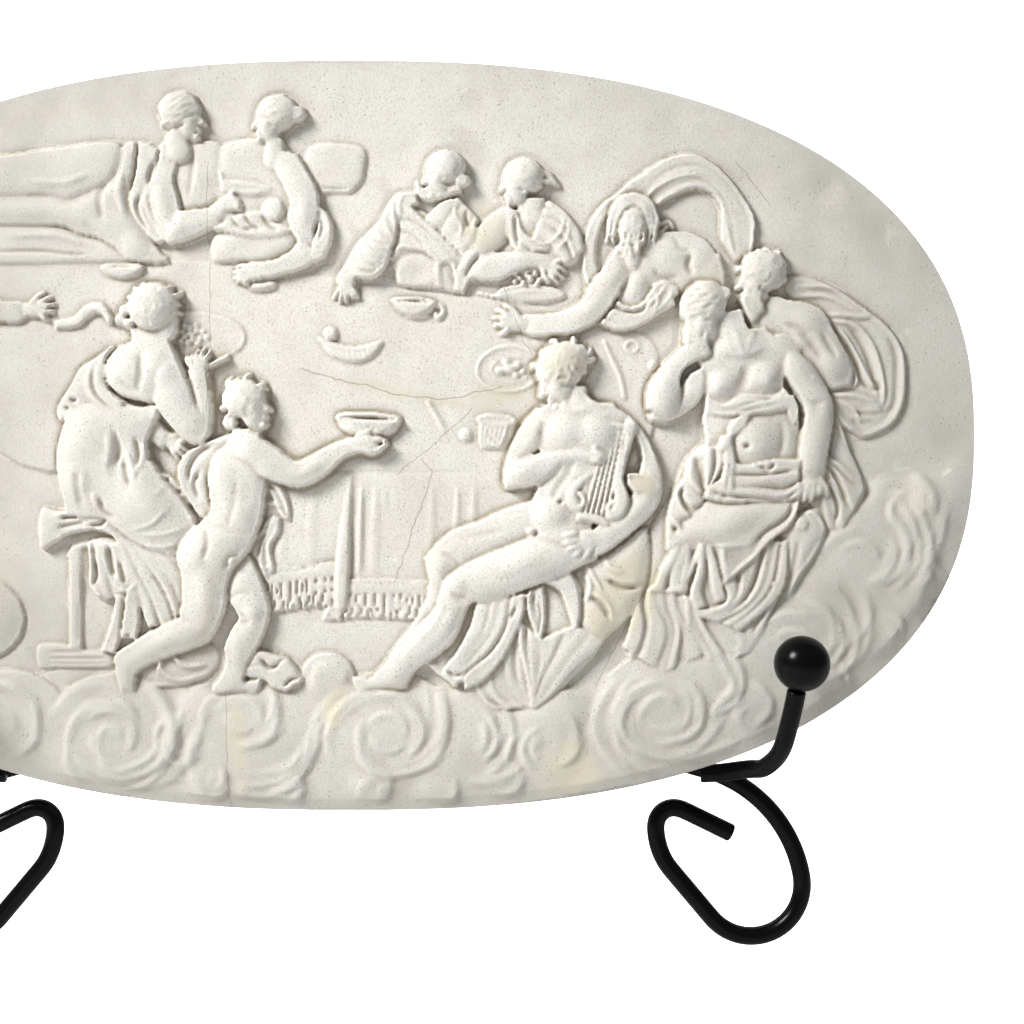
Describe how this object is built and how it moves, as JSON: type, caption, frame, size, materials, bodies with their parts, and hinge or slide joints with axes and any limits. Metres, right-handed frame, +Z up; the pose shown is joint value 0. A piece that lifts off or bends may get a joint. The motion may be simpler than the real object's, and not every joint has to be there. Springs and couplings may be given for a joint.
{
  "type": "bas-relief plaque",
  "caption": "Oval plaster relief plaque of a mythological banquet among clouds, aged off-white, leaning on a black bent-rod easel with scrolled feet and ball-tipped hooks",
  "frame": {"origin": "floor level under the middle of the object's bounding box", "axes": "+X along the plaque's long axis, the carved front faces -Y, +Z up"},
  "size_m": [0.42, 0.1665, 0.2999],
  "materials": {
    "plaster": "aged off-white cast plaster, matt, with fine cracks, yellowed glue stains and specks",
    "iron": "round iron rod with satin black paint"
  },
  "bodies": {
    "root": {"plaque": "plaster", "left_leg_scroll": "iron", "right_leg_scroll": "iron", "left_hook": "iron", "right_hook": "iron", "left_ball": "iron", "right_ball": "iron", "back_leg": "iron", "cross_brace": "iron"}
  },
  "joints": []
}
